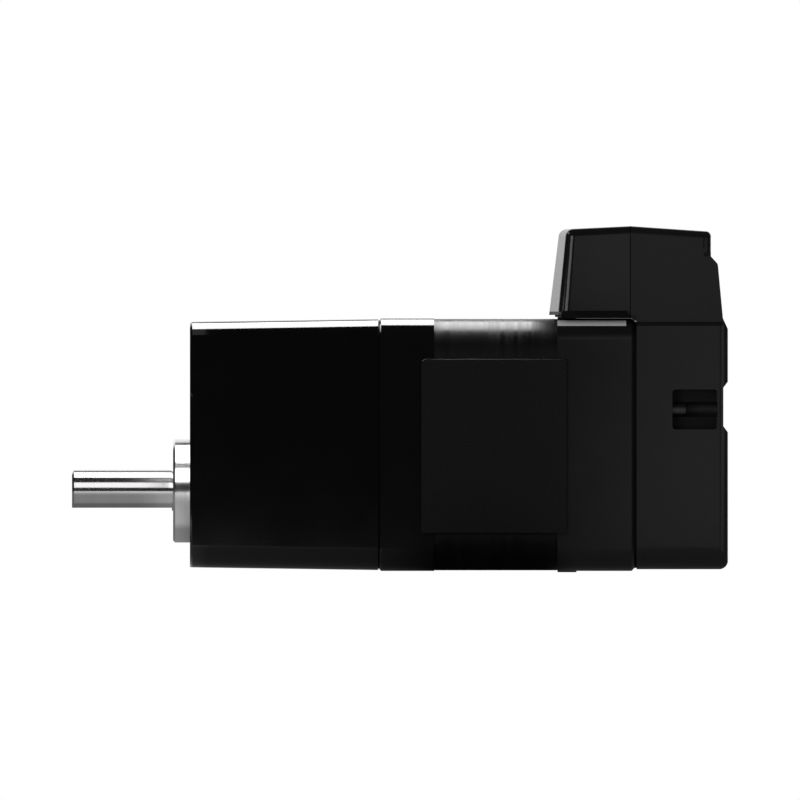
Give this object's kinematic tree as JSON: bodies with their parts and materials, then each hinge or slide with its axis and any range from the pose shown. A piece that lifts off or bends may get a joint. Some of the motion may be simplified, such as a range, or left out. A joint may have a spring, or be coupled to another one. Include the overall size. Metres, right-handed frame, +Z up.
{
  "type": "stepper motor",
  "caption": "Geared stepper motor with an offset flatted output shaft, spur gear train, toothed rotor and stator, rear encoder and a terminal box with a connector on top",
  "frame": {"origin": "on the output shaft's axis, in the plane of the gear case's mounting face", "axes": "-X the way the output shaft points, +X towards the rear cover, +Z up through the terminal box"},
  "size_m": [0.1558, 0.0609, 0.0822],
  "materials": {
    "case_black": "black paint, semi-gloss",
    "flange_black": "black paint, satin",
    "plate_black": "black anodised, matte",
    "moulding_black": "fine moulded grain",
    "lamination_steel": "stamped edges, lightly oiled",
    "rotor_steel": "ground",
    "ground_steel": "ground and polished",
    "gear_steel": "hobbed",
    "machined_aluminium": "fine turned",
    "bearing_steel": "polished",
    "bush_bronze": "sintered",
    "seal_rubber": "matte",
    "gasket_rubber": "matte",
    "screw_steel": "zinc plated",
    "coil_copper": "enamelled copper wire",
    "insulator_white": "moulded",
    "magnet_grey": "sintered",
    "board_green": "solder mask",
    "chip_black": "moulded",
    "insert_black": "moulded",
    "pin_brass": "plated"
  },
  "bodies": {
    "housing": {"gear_case": "case_black", "front_flange": "flange_black", "rear_bracket": "flange_black", "side_plate": "plate_black", "rear_cover": "moulding_black", "terminal_hood": "moulding_black", "stator_core": "lamination_steel", "pilot_boss": "machined_aluminium", "gear_plate": "machined_aluminium", "output_front_bearing_outer_ring": "bearing_steel", "output_rear_bearing_outer_ring": "bearing_steel", "rotor_front_bearing_outer_ring": "bearing_steel", "rotor_rear_bearing_outer_ring": "bearing_steel", "preload_washer": "bearing_steel", "layshaft_front_bush": "bush_bronze", "layshaft_rear_bush": "bush_bronze", "output_seal": "seal_rubber", "motor_seal": "seal_rubber", "case_gasket": "gasket_rubber", "rear_cover_gasket": "gasket_rubber", "terminal_gasket": "gasket_rubber", "gear_plate_screws": "screw_steel", "through_bolts": "screw_steel", "board_screws": "screw_steel", "rear_cover_screws": "screw_steel", "coils": "coil_copper", "coil_insulator_front": "insulator_white", "coil_insulator_rear": "insulator_white", "encoder_board": "board_green", "encoder_chips": "chip_black", "connector_insert": "insert_black", "connector_pins": "pin_brass"},
    "rotor": {"motor_shaft": "ground_steel", "rotor_core_front": "rotor_steel", "rotor_magnet": "magnet_grey", "rotor_core_rear": "rotor_steel", "rotor_front_bearing_inner_ring": "bearing_steel", "rotor_rear_bearing_inner_ring": "bearing_steel", "encoder_hub": "machined_aluminium", "encoder_magnet": "magnet_grey"},
    "layshaft": {"layshaft": "ground_steel", "first_wheel": "gear_steel"},
    "output": {"output_shaft": "ground_steel", "output_key": "gear_steel", "output_wheel": "gear_steel", "output_retaining_ring": "bearing_steel", "output_front_bearing_inner_ring": "bearing_steel", "output_rear_bearing_inner_ring": "bearing_steel"}
  },
  "joints": [
    {"name": "rotor_spin", "type": "hinge", "parent": "housing", "child": "rotor", "pos_m": [0.0727, 0, 0.011], "axis": [1, 0, 0], "continuous": true},
    {"name": "layshaft_spin", "type": "hinge", "parent": "housing", "child": "layshaft", "pos_m": [0.025, -0.01247, 0.00266], "axis": [1, 0, 0], "continuous": true},
    {"name": "output_spin", "type": "hinge", "parent": "housing", "child": "output", "pos_m": [0, 0, 0], "axis": [1, 0, 0], "continuous": true}
  ],
  "couplings": [
    {"joint": "layshaft_spin", "follows": "rotor_spin", "ratio": -0.33333},
    {"joint": "output_spin", "follows": "rotor_spin", "ratio": 0.13889}
  ]
}
